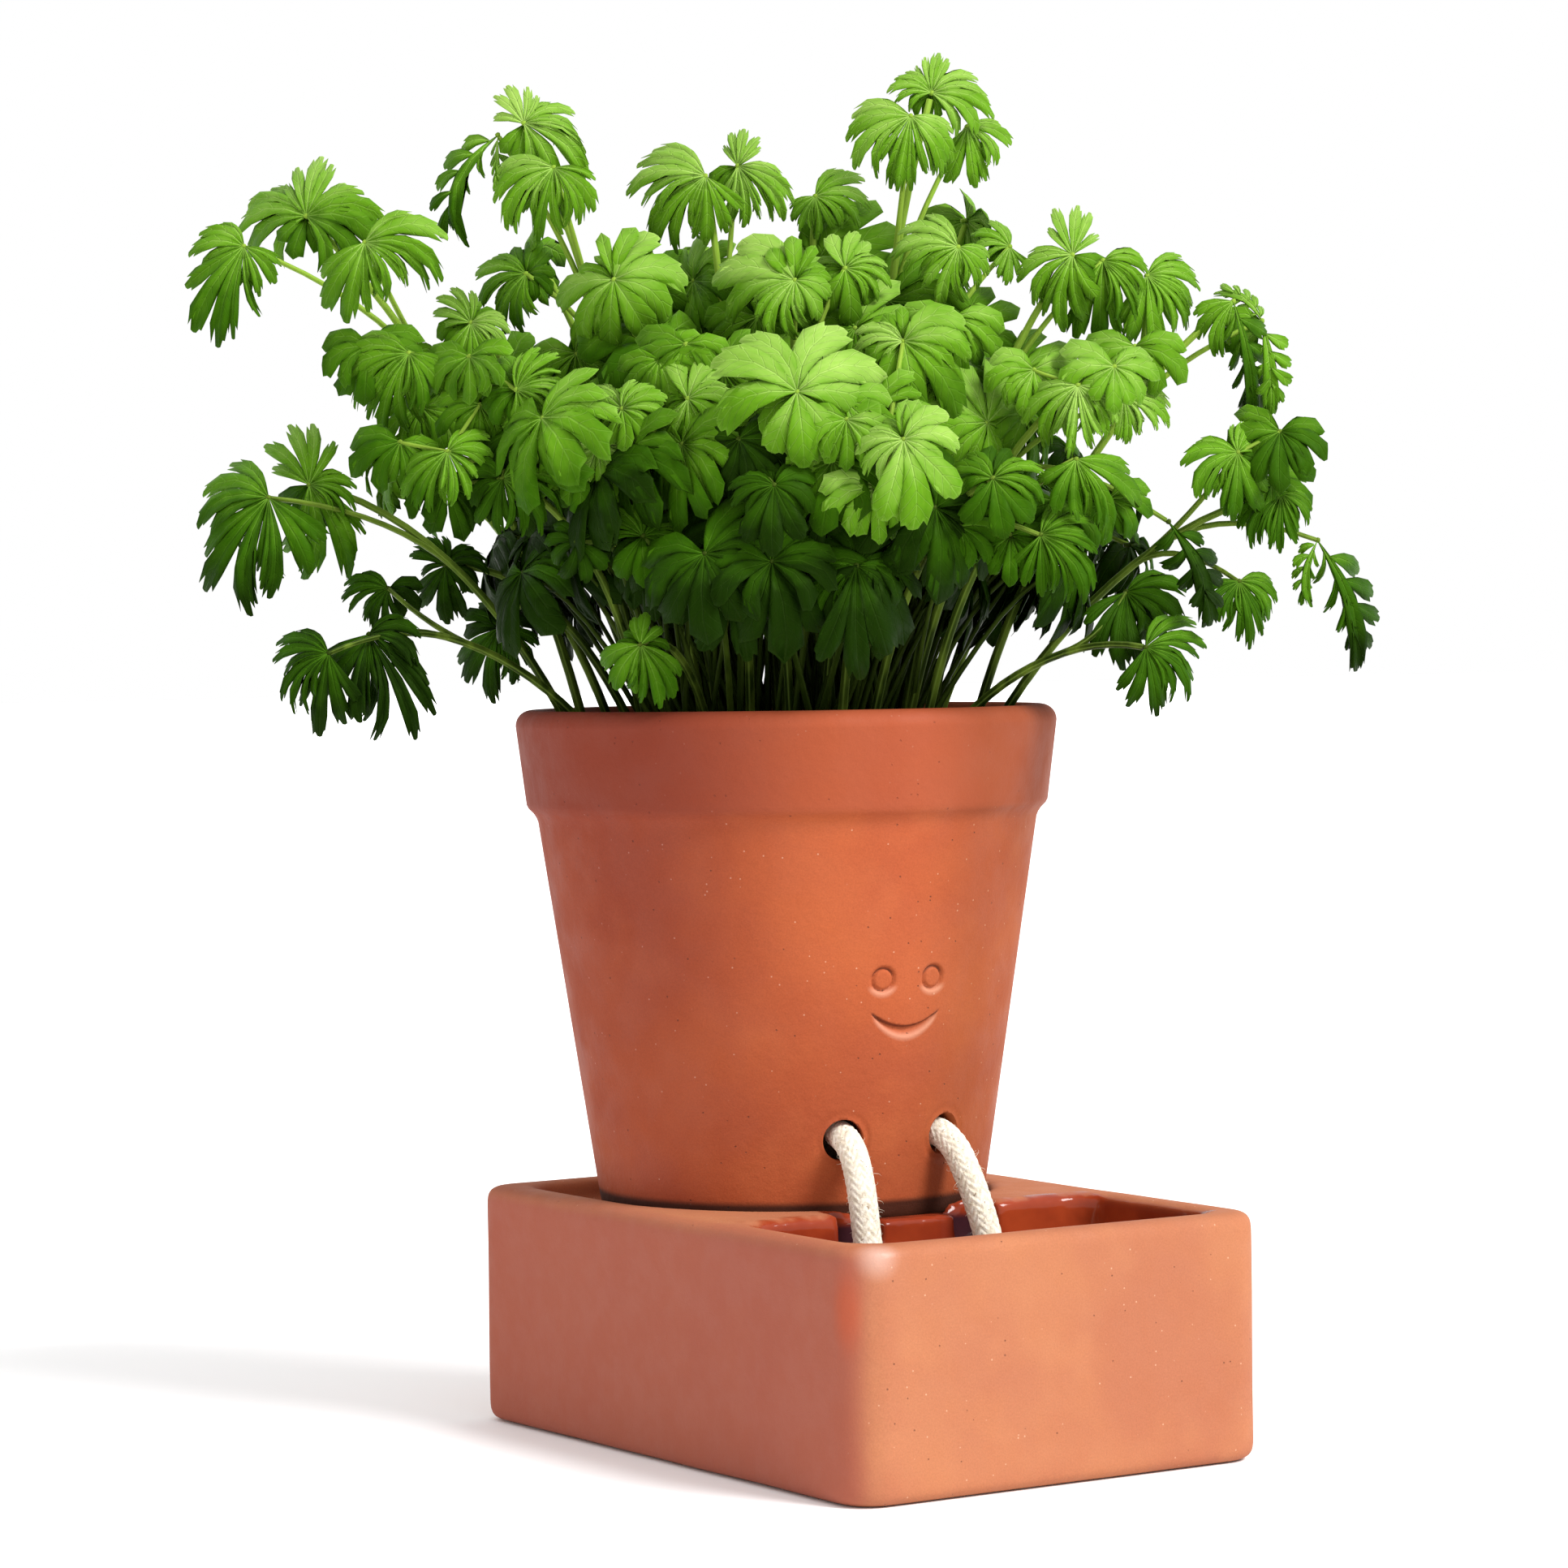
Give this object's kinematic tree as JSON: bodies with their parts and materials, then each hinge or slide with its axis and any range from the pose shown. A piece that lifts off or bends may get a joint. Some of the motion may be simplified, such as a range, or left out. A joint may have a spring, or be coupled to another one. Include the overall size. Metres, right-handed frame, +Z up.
{
  "type": "potted parsley plant",
  "caption": "Flat-leaved parsley in a tapered clay pot that stands on a clay water reservoir and drinks through a cotton rope wick.",
  "frame": {"origin": "on the reservoir's flat underside, straight below the pot's axis", "axes": "+Z up along the pot's axis; -Y towards the pool, the wick's legs and the smile"},
  "size_m": [0.2382, 0.1873, 0.3052],
  "materials": {
    "clay": "matt unglazed terracotta, glazed inside the pool",
    "soil": "loose damp potting mix",
    "cotton": "soft braided rope",
    "leaf": "fresh green leaf and stalk, slightly glossy"
  },
  "bodies": {
    "root": {"reservoir": "clay", "pot": "clay", "soil": "soil", "wick": "cotton", "parsley_left_top": "leaf", "parsley_left_middle": "leaf", "parsley_left_arm": "leaf", "parsley_left_low": "leaf", "parsley_left_back": "leaf", "parsley_top_left": "leaf", "parsley_top_middle": "leaf", "parsley_upper_left": "leaf", "parsley_top_right": "leaf", "parsley_right_upper": "leaf", "parsley_right_high": "leaf", "parsley_right_top": "leaf", "parsley_right_arm": "leaf", "parsley_top_right_inner": "leaf", "parsley_upper_middle": "leaf", "parsley_right_low": "leaf", "parsley_right_front": "leaf", "parsley_right_dark": "leaf", "parsley_right_inner": "leaf", "parsley_front_high": "leaf", "parsley_front_right": "leaf", "parsley_front_left": "leaf", "parsley_middle_left": "leaf", "parsley_left_front": "leaf", "parsley_front_middle": "leaf", "parsley_front_low_left": "leaf", "parsley_front_low_right": "leaf", "parsley_front_small": "leaf", "parsley_front_lowest": "leaf", "parsley_back_1": "leaf", "parsley_back_2": "leaf", "parsley_back_3": "leaf", "parsley_back_4": "leaf", "parsley_back_5": "leaf", "parsley_back_6": "leaf", "parsley_back_7": "leaf", "parsley_back_8": "leaf", "parsley_back_9": "leaf", "parsley_inner_1": "leaf", "parsley_inner_2": "leaf", "parsley_inner_3": "leaf", "parsley_inner_4": "leaf", "parsley_inner_5": "leaf", "parsley_inner_6": "leaf", "parsley_inner_7": "leaf", "parsley_inner_8": "leaf", "parsley_inner_9": "leaf", "parsley_inner_10": "leaf", "parsley_inner_11": "leaf", "parsley_inner_12": "leaf"}
  },
  "joints": []
}
